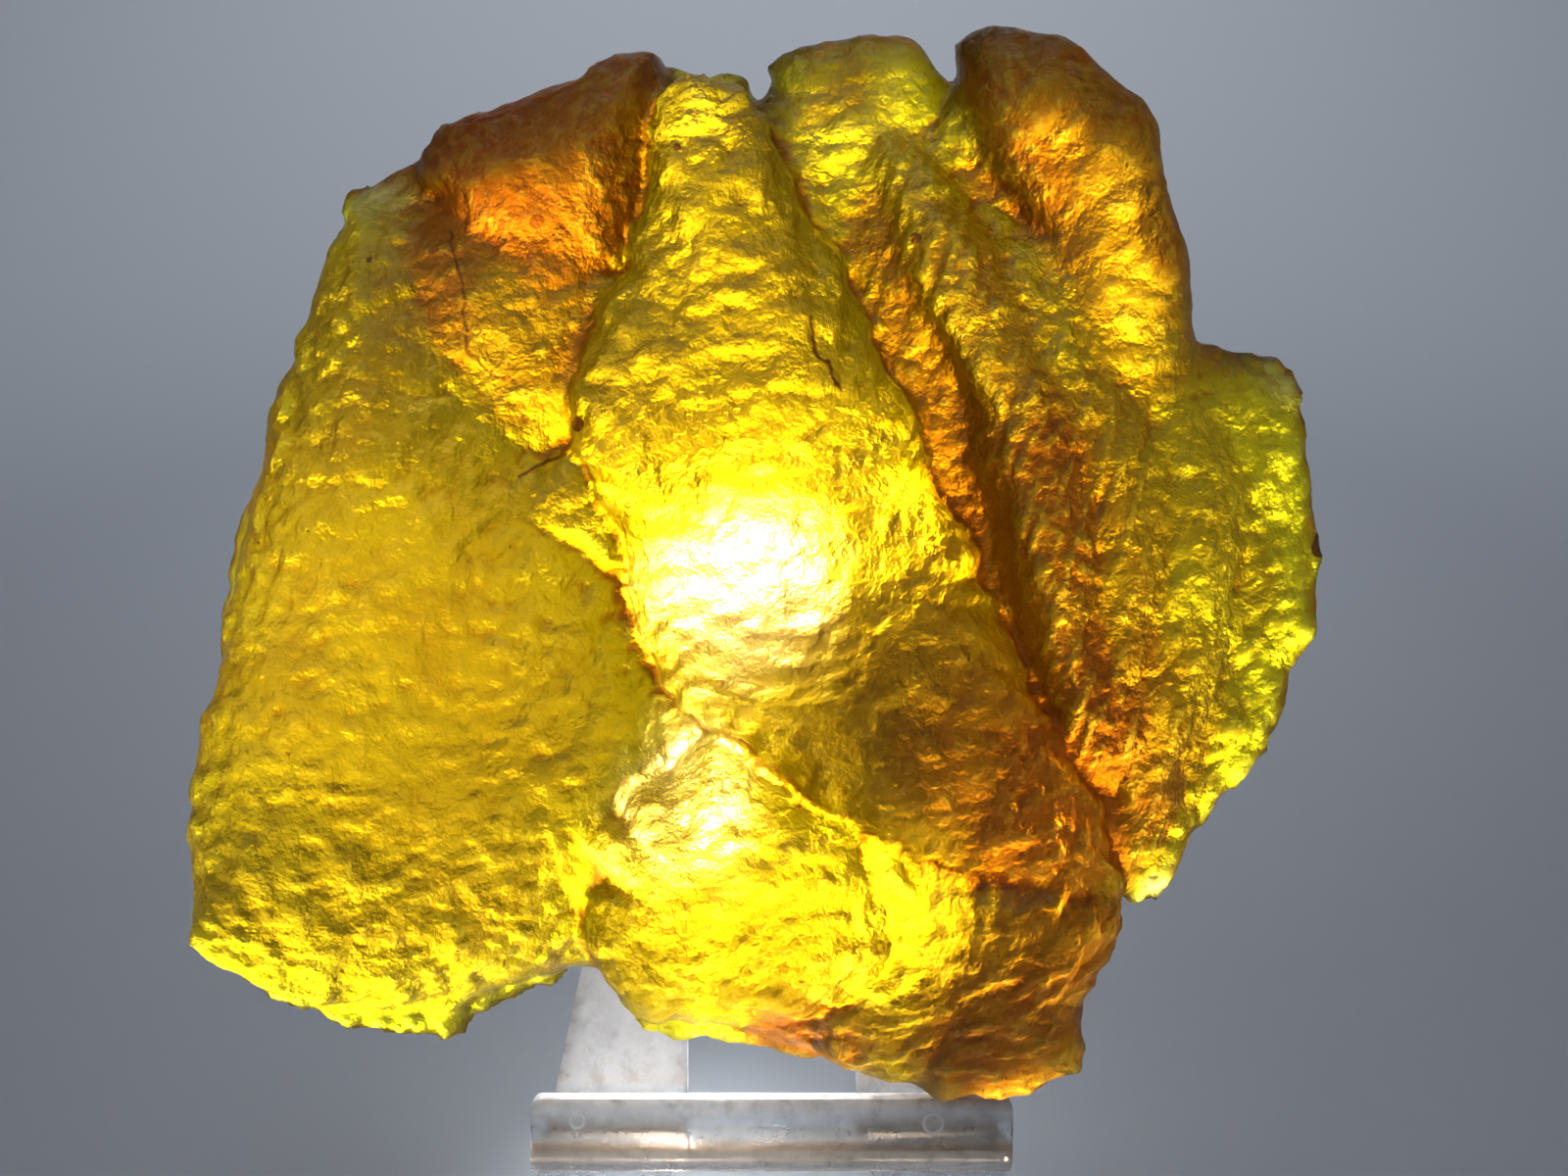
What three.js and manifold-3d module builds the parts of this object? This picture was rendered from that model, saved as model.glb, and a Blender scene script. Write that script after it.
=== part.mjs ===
// A native sulfur crystal standing on a small clear easel.
// Millimetres, +Z up, front towards -Y. The crystal and the easel's uprights share one leaning plane:
// u runs to the right, v up the plane and w out of it towards the front.
import * as THREE from "three";
import { mergeVertices } from "three/addons/utils/BufferGeometryUtils.js";
import Module from "manifold-3d";

const LEAN_DEG = 18; // how far the uprights and the crystal lean back
const GAP = 0.3; // clearance between the crystal and the easel

// Easel. v = 0 is the crystal's lowest point.
const SHEET = 2.2; // wall of the clear plastic
const FRAME_FRONT_W = -13; // front face of the uprights
const FOOT_V = -22; // where the front feet meet the table
const TOP_V = 50; // where the frame bends over
const HALF_WIDTH_AT_0 = 23.4; // half the frame's width at v = 0
const SIDE_SLOPE = 0.22; // how fast each side closes in, going up
const NOTCH_HALF = 9.3;
const NOTCH_TOP_V = 42;
const FOOT_NOTCH_TOP_V = -10.2;
const FOOT_NOTCH_TOP_HALF = 10.5;
const FOOT_NOTCH_FOOT_HALF = 17.5;
const LIP_WIDTH = 50.8;
const LIP_HEIGHT = 8.2; // from the ledge's underside to the lip's top edge
const LIP_CORNER = 1;
const LEDGE_DEPTH = 5.8; // clear depth between the uprights and the lip
const LEDGE_BEND = 1.8;
const REAR_WIDTH = 24;
const REAR_SPREAD_DEG = 40; // between the uprights and the rear leg
const BEND_RADIUS = 3; // inside the bend at the top
const ARC_SEGMENTS = 10;
const MERGE_DISTANCE = 1e-4;

// Room for cuts and joins: none of it is left in the finished easel.
const CUT_MARGIN = 1;
const JOIN_OVERLAP = 1;
const UNDER_TABLE = 2; // how far the frame runs on below the table before it is cut level
const UNCUT_REAR_LENGTH = 110;
const UNCUT_STRIP = LIP_WIDTH + 10;
const TABLE_SIZE = 400;

// Crystal. Its outline, as seen square on, is followed from its own middle. Each lobe is a pillow about a
// centre: an outline, a middle plane (mid, tilted by slope across u and v), a crown in front and a belly
// behind. full is how flat-topped it is. Outlines run clockwise.
const GRID = 46; // squares across the surface
const MIDDLE = [0, 57];
const EDGE_HALF = 0.7; // half the thickness of the broken edge
const EDGE_MID = -5; // where the broken edge lies between lobes
const EDGE_INSET = 0.98; // the edge takes its height from just inside the outline
const EDGE_POWER = 0.62;
const WEAR_RADIUS = 1.8;
const WEAR_SAMPLES = 8;
const OUTLINE_STEPS = 3; // points for each stretch of an outline
const CRYSTAL_OUTLINE = [
  [-42.5, 95.5], [-37, 96.5], [-35, 99], [-30, 102], [-22.5, 103], [-18.5, 106], [-14.5, 108], [-11.5, 107],
  [-6.5, 106.5], [-3, 106.5], [-1.3, 103.5], [-0.5, 107.5], [2.5, 109], [10.5, 111], [14.5, 109.5],
  [17.3, 107.5], [18.3, 104.5], [19, 108.5], [22, 110.5], [28.5, 108.5], [33, 106], [38, 102], [39.5, 97],
  [41, 90], [42.3, 85.5], [43.5, 82.5], [44.5, 79.5], [48, 78], [52.5, 77.5], [55, 73.5], [56.5, 67.5],
  [57.5, 58], [56.5, 49], [53.5, 41.5], [50.5, 34], [45.5, 29], [43.5, 25], [39.5, 20.5], [35.5, 20],
  [34, 15], [33, 9.5], [32.5, 4], [29, 1.7], [24.5, 0.2], [17.5, 0.4], [8.5, 3], [2, 4], [-3.5, 5],
  [-10, 5.5], [-14.5, 7.5], [-16, 11.5], [-19.5, 14.5], [-23, 12], [-29.5, 9.5], [-33.5, 5.5], [-40, 6.5],
  [-48.5, 8.5], [-56, 13], [-59.5, 16.5], [-60, 24.5], [-59.5, 35.5], [-58, 43.5], [-56.5, 54],
  [-54, 64.5], [-51, 72], [-47.5, 81], [-45, 91],
];
const LOBES = {
  body: {
    centre: [0, 57], mid: -4, slope: [0, 0], front: 7, back: 8.4, full: 4,
    outline: [
      [-41.5, 95], [-31, 100.5], [-19, 104.5], [-12.5, 107], [-2.5, 103.5], [7.5, 108], [18.5, 103.5],
      [21.5, 109], [32, 105.5], [38, 101], [40.5, 90], [43.5, 81], [52, 76], [56, 67], [56.5, 57.5],
      [55, 47.5], [50.5, 39], [43, 26], [35, 20.5], [32, 9], [25.5, 1.5], [11.5, 4], [-2.5, 7], [-13, 9],
      [-20, 14.5], [-29, 12], [-35.5, 9], [-46.5, 10.5], [-56, 15], [-59, 23], [-58.5, 37.5],
      [-55, 55.5], [-51, 70], [-47, 82],
    ],
  },
  left_bulge: {
    centre: [-34, 46], mid: -3, slope: [0.04, 0], front: 15, back: 8.5, full: 2.4,
    outline: [
      [-41.5, 93.5], [-44.5, 89], [-47, 81], [-49.5, 74], [-52, 66], [-53.5, 56], [-56, 46], [-58.5, 35],
      [-59, 24], [-57.5, 16], [-49.5, 11.5], [-39.5, 10.5], [-29, 12], [-19, 14.5], [-10, 17],
      [-4, 27], [-5, 41.5], [-9, 57.5], [-16, 70], [-24, 80], [-31, 89],
    ],
  },
  left_rim: {
    centre: [-43, 45], mid: -6, slope: [0, 0], front: 2.6, back: 2.6, full: 7,
    outline: [
      [-43, 95.5], [-45, 91], [-47.5, 81], [-51, 72], [-54, 64.5], [-56.5, 54], [-58, 43.5],
      [-59.5, 35.5], [-60, 24.5], [-59.5, 16], [-56, 13], [-48.5, 8.5], [-40, 6.5], [-33.5, 5.5],
      [-29.5, 9.5], [-23, 12], [-19, 17], [-24, 31], [-31, 53.5], [-31, 74], [-35.5, 90], [-37.5, 96],
    ],
  },
  upper_left: {
    centre: [-21, 91], mid: -1, slope: [0.05, 0], front: 11, back: 10, full: 3.5,
    outline: [
      [-36.5, 96.5], [-33, 100.5], [-27, 102], [-22.5, 103], [-18.5, 106], [-14.5, 108], [-11.5, 107],
      [-10, 103.5], [-11.5, 95.5], [-13.5, 87.5], [-16, 81], [-18.5, 76.5], [-23, 74], [-27, 74.5],
      [-28.5, 81], [-32, 89],
    ],
  },
  blade: {
    centre: [-1, 62], mid: 5, slope: [0, -0.03], front: 12, back: 15, full: 2.5,
    outline: [
      [-2, 103], [1.5, 98], [4, 89.5], [7.5, 85], [10.5, 78], [15, 69.5], [18, 61.5], [20.5, 54],
      [19, 44.5], [13.5, 34], [6.5, 30], [2, 35], [-6, 40.5], [-10.5, 44.5], [-13.5, 49], [-15, 53],
      [-14, 57], [-16, 62.5], [-19, 67.5], [-19, 74], [-16, 81], [-13.5, 87.5], [-11.5, 95.5],
      [-10, 103], [-6.5, 105],
    ],
  },
  lower_body: {
    centre: [22, 37], mid: 1, slope: [-0.05, 0.1], front: 9, back: 12, full: 3,
    outline: [
      [19.5, 58], [23.5, 50], [27.5, 43.5], [32, 36.5], [35, 28], [36, 21.5], [34, 17], [27.5, 19],
      [17.5, 23], [9.5, 28], [4.5, 34], [5, 44], [12, 54],
    ],
  },
  facet: {
    centre: [-19.5, 61], mid: 4, slope: [0.1, 0.1], front: 4, back: 9, full: 3,
    outline: [
      [-25.5, 64.5], [-20, 67.5], [-17, 65], [-14, 60.5], [-14.5, 55], [-17.5, 56], [-23, 58.5],
      [-24.5, 60.5],
    ],
  },
  upper_right: {
    centre: [31, 94], mid: -1, slope: [0, 0.04], front: 9, back: 10, full: 4.5,
    outline: [
      [18.5, 108], [22, 110.5], [28.5, 108.5], [32.5, 106.5], [38, 102], [39.5, 97], [41, 90],
      [42.5, 85], [40, 79.5], [35, 76], [30, 81], [24.5, 91], [21.5, 96], [19.5, 102.5],
    ],
  },
  top_centre: {
    centre: [11, 95], mid: -6, slope: [0, 0], front: 6, back: 5, full: 4,
    outline: [
      [-0.5, 105.5], [-0.5, 107.5], [2.5, 109], [5.5, 110], [10.5, 111], [14.5, 109.5], [17.5, 107],
      [18.5, 104.5], [21.5, 96], [25, 84], [19.5, 72], [11.5, 79], [6, 88], [1.5, 97],
    ],
  },
  top_chip: {
    centre: [-6, 103], mid: -6, slope: [0, 0], front: 4, back: 5, full: 4,
    outline: [[-12, 107], [-6.5, 106.5], [-3, 106.5], [-1.8, 105], [-2, 100], [-6, 98], [-11, 100]],
  },
  groove_rib: {
    centre: [15.5, 76], mid: -2, slope: [0, 0], front: 7, back: 9, full: 2.4,
    outline: [
      [7.5, 97.5], [11.5, 96], [17.5, 82], [21.5, 71], [23.5, 57.5], [20.5, 55.5], [16, 61.5],
      [13, 70], [9.5, 75.5], [6, 84],
    ],
  },
  middle_rib: {
    centre: [24, 66], mid: 0, slope: [0, -0.04], front: 11, back: 10, full: 2.2,
    outline: [
      [9.5, 100], [15.5, 99], [22.5, 90], [29.5, 76], [33.5, 61.5], [34.5, 49.5], [33.5, 34],
      [30.5, 36.5], [26, 47], [22.5, 56], [20, 69], [15.5, 80], [10.5, 92],
    ],
  },
  outer_rib: {
    centre: [33, 62], mid: 0, slope: [-0.05, 0], front: 8.5, back: 9, full: 2.4,
    outline: [
      [21.5, 93], [28.5, 85.5], [35.5, 76], [39, 66], [40, 53.5], [38.5, 41.5], [35.5, 32],
      [33, 40.5], [32, 53.5], [30.5, 68], [25.5, 80],
    ],
  },
  flange: {
    centre: [44, 55], mid: -5, slope: [0, 0], front: 4, back: 4, full: 5,
    outline: [
      [33, 78], [41, 84.5], [43.5, 82.5], [44.5, 79.5], [47.5, 77.5], [49.5, 78], [52.5, 77.5],
      [55, 73.5], [56.5, 67.5], [57.5, 58], [56.5, 49], [53.5, 41.5], [50.5, 34], [45.5, 29],
      [43.5, 25], [39.5, 20.5], [36, 21.5], [32, 33], [30, 53.5], [30.5, 68],
    ],
  },
  flange_rib: {
    centre: [41, 54], mid: -4, slope: [-0.08, 0], front: 9, back: 7, full: 2.4,
    outline: [
      [36.5, 80], [42, 79], [46.5, 73], [48.5, 61.5], [47, 49.5], [43.5, 37.5], [39.5, 25],
      [36, 24], [34.5, 33], [36.5, 48.5], [37, 66], [34, 73],
    ],
  },
  lower_centre: {
    centre: [-5, 23], mid: -1, slope: [0, 0.12], front: 13, back: 10.5, full: 2.4,
    outline: [
      [-5.5, 40.5], [-9, 37], [-13.5, 35], [-17, 32.5], [-19, 28.5], [-17, 26.5], [-19, 24],
      [-19.5, 19.5], [-17.5, 17], [-16.5, 13], [-13, 9.5], [-7, 9], [0, 10], [7.5, 11.5],
      [14.5, 17], [14.5, 25], [9.5, 31], [2, 35],
    ],
  },
  lower_right: {
    centre: [18, 14], mid: -2.8, slope: [0, 0.3], front: 10, back: 8, full: 2.8,
    outline: [
      [9, 31], [14.5, 28.5], [21.5, 27], [31, 26], [35.5, 21], [34, 16], [33, 9.5], [32.5, 4],
      [29, 1.5], [24.5, 0], [17.5, 0.2], [8.5, 3], [3.5, 6.5], [2, 13], [4.5, 20], [6.5, 26.5],
    ],
  },
  bottom_tab: {
    centre: [-2, 10], mid: -8, slope: [0, 0], front: 3, back: 3.6, full: 5,
    outline: [
      [-15, 12], [-15, 10.5], [-14.5, 7.5], [-10, 5.5], [-3.5, 5], [2, 4], [8.5, 3], [12.5, 8],
      [9.5, 14], [-0.5, 17], [-11, 16],
    ],
  },
};

const SULFUR = new THREE.MeshStandardMaterial({ name: "sulfur", color: 0xd99a08, roughness: 0.35, metalness: 0 });
const CLEAR = new THREE.MeshStandardMaterial({
  name: "clear_plastic", color: 0xe8eef0, roughness: 0.08, metalness: 0, transparent: true, opacity: 0.35,
});

const wasm = await Module();
wasm.setup();

function solidFrom(geometry) {
  const bare = geometry.clone();
  bare.deleteAttribute("normal");
  bare.deleteAttribute("uv");
  const merged = mergeVertices(bare, MERGE_DISTANCE);
  return new wasm.Manifold(new wasm.Mesh({
    numProp: 3,
    vertProperties: merged.attributes.position.array,
    triVerts: new Uint32Array(merged.index.array),
  }));
}

function geometryFrom(solid) {
  const mesh = solid.getMesh();
  const geometry = new THREE.BufferGeometry();
  geometry.setAttribute("position", new THREE.BufferAttribute(mesh.vertProperties, 3));
  geometry.setIndex(new THREE.BufferAttribute(mesh.triVerts, 1));
  geometry.computeVertexNormals();
  return geometry;
}

const joined = (solids) => solids.reduce((all, solid) => all.add(solid));

// From the leaning plane's u, v, w to the table's frame, with the front feet's plane on the table.
function leaning() {
  const lean = THREE.MathUtils.degToRad(LEAN_DEG);
  const up = new THREE.Vector3(0, Math.sin(lean), Math.cos(lean));
  const out = new THREE.Vector3(0, -Math.cos(lean), Math.sin(lean));
  const foot = up.clone().multiplyScalar(FOOT_V).addScaledVector(out, FRAME_FRONT_W);
  return new THREE.Matrix4().makeBasis(new THREE.Vector3(1, 0, 0), up, out)
    .setPosition(foot.negate());
}

function roundedOutline(outline) {
  const points = outline.map(([u, v]) => new THREE.Vector3(u, v, 0));
  const curve = new THREE.CatmullRomCurve3(points, true, "centripetal");
  return curve.getPoints(outline.length * OUTLINE_STEPS).slice(0, -1);
}

// How far the outline is from its centre along a direction.
function reach(rim, [centreU, centreV], directionU, directionV) {
  let furthest = 0;
  rim.forEach((start, i) => {
    const end = rim[(i + 1) % rim.length];
    const edgeU = end.x - start.x;
    const edgeV = end.y - start.y;
    const across = directionU * edgeV - directionV * edgeU;
    const fromU = start.x - centreU;
    const fromV = start.y - centreV;
    const distance = (fromU * edgeV - fromV * edgeU) / across;
    const along = (fromU * directionV - fromV * directionU) / across;
    if (distance > 0 && along >= 0 && along <= 1) furthest = Math.max(furthest, distance);
  });
  return furthest;
}

// The crown's and the belly's height of one lobe at a point, or null outside the lobe.
function lobeHeights(lobe, u, v) {
  const du = u - lobe.centre[0];
  const dv = v - lobe.centre[1];
  const distance = Math.hypot(du, dv);
  const share = distance && distance / reach(lobe.rim, lobe.centre, du / distance, dv / distance);
  if (share >= 1) return null;
  const plane = lobe.mid + lobe.slope[0] * du + lobe.slope[1] * dv;
  const rise = (1 - share ** lobe.full) ** EDGE_POWER;
  return [plane + lobe.front * rise, plane - lobe.back * rise];
}

// The surface at a point: the foremost crown and the rearmost belly of the lobes that hold it. A point
// between lobes, which only the edge has, lies in the edge's own plane.
function crystalHeights(lobes, u, v) {
  const heights = lobes.map((lobe) => lobeHeights(lobe, u, v)).filter((pair) => pair !== null);
  if (!heights.length) return [EDGE_MID, EDGE_MID];
  const front = Math.max(...heights.map((pair) => pair[0]));
  const back = Math.min(...heights.map((pair) => pair[1]));
  return [front, back];
}

// The surface at a point, worn over a few millimetres so that a step between lobes has a sloping face.
function wornHeights(lobes, u, v) {
  let [front, back] = crystalHeights(lobes, u, v);
  for (let i = 0; i < WEAR_SAMPLES; i++) {
    const angle = (2 * Math.PI * i) / WEAR_SAMPLES;
    const near = crystalHeights(lobes, u + WEAR_RADIUS * Math.cos(angle), v + WEAR_RADIUS * Math.sin(angle));
    front += near[0];
    back += near[1];
  }
  return [front / (WEAR_SAMPLES + 1), back / (WEAR_SAMPLES + 1)];
}

// A square's point carried to the disc of radius 1, so that the grid's squares stay even in size.
function squareToDisc(x, y) {
  if (x === 0 && y === 0) return [0, 0];
  return Math.abs(x) > Math.abs(y)
    ? [Math.abs(x), (Math.PI / 4) * (y / x) + (x < 0 ? Math.PI : 0)]
    : [Math.abs(y), Math.PI / 2 - (Math.PI / 4) * (x / y) + (y < 0 ? Math.PI : 0)];
}

// The crystal is one grid in front and one behind, which share their outline through the broken edge.
function crystalGeometry() {
  const rim = roundedOutline(CRYSTAL_OUTLINE);
  const lobes = Object.values(LOBES).map((lobe) => ({ ...lobe, rim: roundedOutline(lobe.outline) }));
  const positions = [];
  const index = [];
  const side = GRID + 1;
  const fronts = [];
  const backs = [];
  for (let row = 0; row <= GRID; row++) {
    for (let column = 0; column <= GRID; column++) {
      const [radius, angle] = squareToDisc((2 * column) / GRID - 1, (2 * row) / GRID - 1);
      const directionU = Math.cos(angle);
      const directionV = Math.sin(angle);
      const distance = radius * reach(rim, MIDDLE, directionU, directionV);
      const u = MIDDLE[0] + directionU * distance;
      const v = MIDDLE[1] + directionV * distance;
      const within = Math.min(1, EDGE_INSET / radius);
      const [front, back] = wornHeights(
        lobes, MIDDLE[0] + directionU * distance * within, MIDDLE[1] + directionV * distance * within,
      );
      const centre = (front + back) / 2;
      fronts.push([u, v, Math.max(front, centre + EDGE_HALF)]);
      backs.push([u, v, Math.min(back, centre - EDGE_HALF)]);
    }
  }
  [...fronts, ...backs].forEach((point) => positions.push(...point));
  const behind = side * side;
  for (let row = 0; row < GRID; row++) {
    for (let column = 0; column < GRID; column++) {
      const a = row * side + column;
      const [b, c, d] = [a + 1, a + side, a + side + 1];
      index.push(a, b, d, a, d, c);
      index.push(behind + a, behind + d, behind + b, behind + a, behind + c, behind + d);
    }
  }
  const border = [];
  for (let i = 0; i < GRID; i++) border.push(i);
  for (let i = 0; i < GRID; i++) border.push(i * side + GRID);
  for (let i = GRID; i > 0; i--) border.push(GRID * side + i);
  for (let i = GRID; i > 0; i--) border.push(i * side);
  border.forEach((a, i) => {
    const b = border[(i + 1) % border.length];
    index.push(a, behind + a, b, b, behind + a, behind + b);
  });
  const geometry = new THREE.BufferGeometry();
  geometry.setAttribute("position", new THREE.Float32BufferAttribute(positions, 3));
  geometry.setIndex(index);
  return geometry.applyMatrix4(leaning());
}

// An outline in the u, v plane made a plate between two heights of w.
function plate(shape, lowW, highW) {
  const geometry = new THREE.ExtrudeGeometry(shape, {
    depth: highW - lowW, bevelEnabled: false, curveSegments: ARC_SEGMENTS,
  });
  return solidFrom(geometry.translate(0, 0, lowW));
}

// A side outline, drawn with x for -w and y for v, made a strip across u.
function strip(shape, width) {
  const geometry = new THREE.ExtrudeGeometry(shape, {
    depth: width, bevelEnabled: false, curveSegments: ARC_SEGMENTS,
  });
  geometry.translate(0, 0, -width / 2).rotateY(Math.PI / 2);
  return solidFrom(geometry);
}

function frameSolid() {
  const halfWidth = (v) => HALF_WIDTH_AT_0 - SIDE_SLOPE * v;
  const low = FOOT_V - UNDER_TABLE;
  const outside = new THREE.Shape([
    new THREE.Vector2(-halfWidth(low), low),
    new THREE.Vector2(halfWidth(low), low),
    new THREE.Vector2(halfWidth(TOP_V), TOP_V),
    new THREE.Vector2(-halfWidth(TOP_V), TOP_V),
  ]);
  const ledgeTop = -GAP - LIP_HEIGHT + SHEET;
  const notch = new THREE.Path();
  notch.moveTo(-NOTCH_HALF, ledgeTop);
  notch.lineTo(NOTCH_HALF, ledgeTop);
  notch.lineTo(NOTCH_HALF, NOTCH_TOP_V - NOTCH_HALF);
  notch.absarc(0, NOTCH_TOP_V - NOTCH_HALF, NOTCH_HALF, 0, Math.PI);
  outside.holes.push(notch);
  const footNotch = new THREE.Shape([
    new THREE.Vector2(-FOOT_NOTCH_TOP_HALF, FOOT_NOTCH_TOP_V),
    new THREE.Vector2(-FOOT_NOTCH_FOOT_HALF - CUT_MARGIN, low - CUT_MARGIN),
    new THREE.Vector2(FOOT_NOTCH_FOOT_HALF + CUT_MARGIN, low - CUT_MARGIN),
    new THREE.Vector2(FOOT_NOTCH_TOP_HALF, FOOT_NOTCH_TOP_V),
  ]);
  const back = FRAME_FRONT_W - SHEET;
  return plate(outside, back, FRAME_FRONT_W).subtract(
    plate(footNotch, back - CUT_MARGIN, FRAME_FRONT_W + CUT_MARGIN),
  );
}

// The ledge runs forward from the frame and bends up into the lip.
function lipSolid() {
  const top = -GAP;
  const under = top - LIP_HEIGHT;
  const start = -FRAME_FRONT_W + SHEET / 2;
  const inside = -FRAME_FRONT_W - LEDGE_DEPTH;
  const outer = inside - SHEET;
  const side = new THREE.Shape();
  side.moveTo(start, under);
  side.lineTo(start, under + SHEET);
  side.lineTo(inside, under + SHEET);
  side.lineTo(inside, top);
  side.lineTo(outer, top);
  side.lineTo(outer, under + LEDGE_BEND);
  side.absarc(outer + LEDGE_BEND, under + LEDGE_BEND, LEDGE_BEND, Math.PI, 1.5 * Math.PI);
  const half = LIP_WIDTH / 2;
  const face = new THREE.Shape();
  face.moveTo(-half, under - CUT_MARGIN);
  face.lineTo(half, under - CUT_MARGIN);
  face.lineTo(half, top - LIP_CORNER);
  face.absarc(half - LIP_CORNER, top - LIP_CORNER, LIP_CORNER, 0, Math.PI / 2);
  face.lineTo(-half + LIP_CORNER, top);
  face.absarc(-half + LIP_CORNER, top - LIP_CORNER, LIP_CORNER, Math.PI / 2, Math.PI);
  return strip(side, UNCUT_STRIP).intersect(plate(face, -start - CUT_MARGIN, -outer + CUT_MARGIN));
}

// The bend over the frame's top and the rear leg below it, as one strip of even thickness.
function rearSolid() {
  const front = -FRAME_FRONT_W;
  const bendV = TOP_V - JOIN_OVERLAP;
  const centre = new THREE.Vector2(front + SHEET + BEND_RADIUS, bendV);
  const turn = THREE.MathUtils.degToRad(REAR_SPREAD_DEG);
  const outer = BEND_RADIUS + SHEET;
  const down = new THREE.Vector2(Math.sin(turn), -Math.cos(turn)).multiplyScalar(UNCUT_REAR_LENGTH);
  const around = (radius, angle) =>
    new THREE.Vector2(Math.cos(angle), Math.sin(angle)).multiplyScalar(radius).add(centre);
  const outerEnd = around(outer, turn).add(down);
  const innerEnd = around(BEND_RADIUS, turn).add(down);
  const side = new THREE.Shape();
  side.moveTo(front, bendV - JOIN_OVERLAP);
  side.lineTo(front, bendV);
  side.absarc(centre.x, centre.y, outer, Math.PI, turn, true);
  side.lineTo(outerEnd.x, outerEnd.y);
  side.lineTo(innerEnd.x, innerEnd.y);
  side.absarc(centre.x, centre.y, BEND_RADIUS, turn, Math.PI, false);
  side.lineTo(front + SHEET, bendV - JOIN_OVERLAP);
  return strip(side, REAR_WIDTH);
}

function easelGeometry() {
  const leaned = geometryFrom(joined([frameSolid(), lipSolid(), rearSolid()])).applyMatrix4(leaning());
  const underTable = new THREE.BoxGeometry(TABLE_SIZE, TABLE_SIZE, TABLE_SIZE).translate(0, 0, -TABLE_SIZE / 2);
  return geometryFrom(solidFrom(leaned).subtract(solidFrom(underTable)));
}

function namedMesh(name, geometry, material) {
  const mesh = new THREE.Mesh(geometry, material);
  mesh.name = name;
  return mesh;
}

const group = new THREE.Group();
group.add(namedMesh("sulfur_crystal", crystalGeometry(), SULFUR));
group.add(namedMesh("display_easel", easelGeometry(), CLEAR));

// The origin is the middle of the underside of the whole box.
const box = new THREE.Box3().setFromObject(group);
const middle = box.getCenter(new THREE.Vector3());
group.position.set(-middle.x, -middle.y, -box.min.z);

export default group;
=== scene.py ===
# A native sulfur crystal that leans on a small clear easel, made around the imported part.
# The script builds it as it is put together: the view, the easel, the crystal, then the studio round it.
import math

import bmesh
import bpy
import numpy as np
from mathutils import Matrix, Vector, noise


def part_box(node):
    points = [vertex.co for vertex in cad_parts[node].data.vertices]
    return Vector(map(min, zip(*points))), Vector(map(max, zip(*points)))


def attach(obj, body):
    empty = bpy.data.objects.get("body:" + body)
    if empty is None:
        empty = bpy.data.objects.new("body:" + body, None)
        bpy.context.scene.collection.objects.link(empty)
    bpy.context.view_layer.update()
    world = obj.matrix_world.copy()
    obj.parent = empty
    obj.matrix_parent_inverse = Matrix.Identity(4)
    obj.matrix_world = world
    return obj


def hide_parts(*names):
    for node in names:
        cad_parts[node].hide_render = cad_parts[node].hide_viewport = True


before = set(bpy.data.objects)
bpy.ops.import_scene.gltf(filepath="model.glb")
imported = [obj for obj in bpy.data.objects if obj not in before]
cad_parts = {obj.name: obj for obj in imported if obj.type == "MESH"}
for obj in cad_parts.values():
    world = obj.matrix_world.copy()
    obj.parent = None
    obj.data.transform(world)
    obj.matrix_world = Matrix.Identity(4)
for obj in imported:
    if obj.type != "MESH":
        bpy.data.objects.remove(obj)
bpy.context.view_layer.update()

MM = 0.001
scene = bpy.context.scene

# ---------------------------------------------------------------------------------------------------------
# The leaning plane and the view. The crystal and the easel's uprights share a plane that leans back from
# the front feet: u runs right, v up the plane and w out of it. The view is nearly square on to it.
LEAN = math.radians(18)
# The easel's front face meets the floor at this v and w, this far in front of its rear foot.
FOOT_V, FRAME_FRONT_W = -22, -13
EASEL_DEPTH = 59.127 * MM
RIGHT = Vector((1, 0, 0))
UP = Vector((0, math.sin(LEAN), math.cos(LEAN)))
OUT = Vector((0, -math.cos(LEAN), math.sin(LEAN)))

easel_low, easel_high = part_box("display_easel")
feet_front = Vector(((easel_low.x + easel_high.x) / 2, easel_high.y - EASEL_DEPTH, 0))
plane_origin = feet_front - (UP * FOOT_V + OUT * FRAME_FRONT_W) * MM


def on_plane(u, v, w):
    """A place in the leaning plane's millimetres, as a place in the frame's metres."""
    return plane_origin + (RIGHT * u + UP * v + OUT * w) * MM


VIEW_DOWN = math.radians(20)
VIEW_DISTANCE = 0.1897
VIEW_MIDDLE = on_plane(1.3, 53.6, -4)
LENS = 42

camera_data = bpy.data.cameras.new("view")
camera_data.lens = LENS
camera_data.clip_start = 0.005
camera = bpy.data.objects.new("view", camera_data)
scene.collection.objects.link(camera)
camera.location = VIEW_MIDDLE + Vector((0, -math.cos(VIEW_DOWN), math.sin(VIEW_DOWN))) * VIEW_DISTANCE
camera.rotation_euler = (math.pi / 2 - VIEW_DOWN, 0, 0)
scene.camera = camera


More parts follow.
